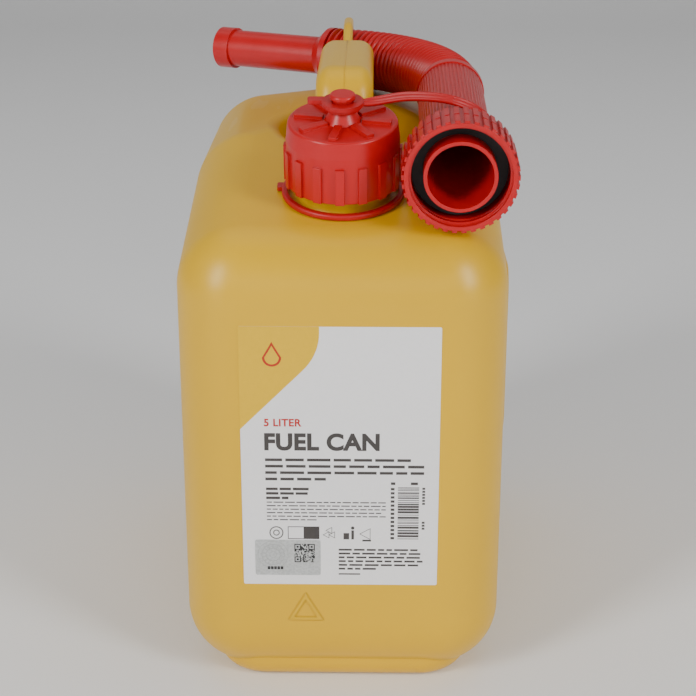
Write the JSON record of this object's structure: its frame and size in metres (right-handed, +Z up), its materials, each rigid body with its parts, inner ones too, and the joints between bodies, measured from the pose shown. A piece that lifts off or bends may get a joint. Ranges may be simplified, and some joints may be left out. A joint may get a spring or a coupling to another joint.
{
  "type": "safety gas can",
  "caption": "Upright moulded fuel can with a centre carrying handle, a tethered child-resistant screw cap, and a flexible pouring spout stored across the top",
  "frame": {"origin": "centre of the flat base, on the surface that the can stands on", "axes": "+X right of the front face, +Y to the rear, +Z up"},
  "size_m": [0.1532, 0.2578, 0.285],
  "materials": {
    "body_yellow": "satin blow-moulded polyethylene",
    "label_white": "printed self-adhesive film",
    "sticker_silver": "silver foil sticker",
    "cap_red": "satin moulded plastic",
    "tether_red": "flexible moulded plastic",
    "spout_red": "satin moulded plastic",
    "seal_black": "black fuel-resistant rubber"
  },
  "bodies": {
    "can": {"can_body": "body_yellow", "front_label": "label_white", "security_sticker": "sticker_silver", "tether_neck_ring": "tether_red", "tether_neck_strap": "tether_red"},
    "cap_holder": {"tether_eyelet": "tether_red", "tether_cap_strap": "tether_red"},
    "inner_cap": {"cap_inner": "cap_red", "cap_gasket": "seal_black"},
    "outer_cap": {"cap_shell": "cap_red"},
    "spout": {"spout_base_tube": "spout_red", "spout_gasket": "seal_black", "spout_hose": "spout_red", "spout_nozzle_pipe": "spout_red", "tether_spout_ring": "tether_red"},
    "nut": {"spout_nut": "spout_red"}
  },
  "joints": [
    {"name": "cap_lift", "type": "slide", "parent": "can", "child": "cap_holder", "axis": [0, -0.225, 0.9744], "range_m": [0, 0.024], "deforming": ["tether_cap_strap"]},
    {"name": "cap_spin", "type": "hinge", "parent": "cap_holder", "child": "inner_cap", "pos_m": [0, -0.07525, 0.25426], "axis": [0, -0.225, 0.9744], "range_deg": [0, 1440]},
    {"name": "cap_push", "type": "slide", "parent": "inner_cap", "child": "outer_cap", "axis": [0, -0.225, 0.9744], "range_m": [-0.0012, 0], "stiffness_N_per_m": 1500},
    {"name": "spout_pull", "type": "slide", "parent": "can", "child": "spout", "axis": [0.8891, -0.4576, 0], "range_m": [0, 0.09], "deforming": ["tether_neck_strap"]},
    {"name": "nut_spin", "type": "hinge", "parent": "spout", "child": "nut", "pos_m": [0.05104, -0.10357, 0.24765], "axis": [0.0041, 0.9934, 0.1148], "continuous": true}
  ],
  "couplings": [
    {"joint": "cap_spin", "follows": "cap_lift", "rad_per_m": 1047.2}
  ]
}
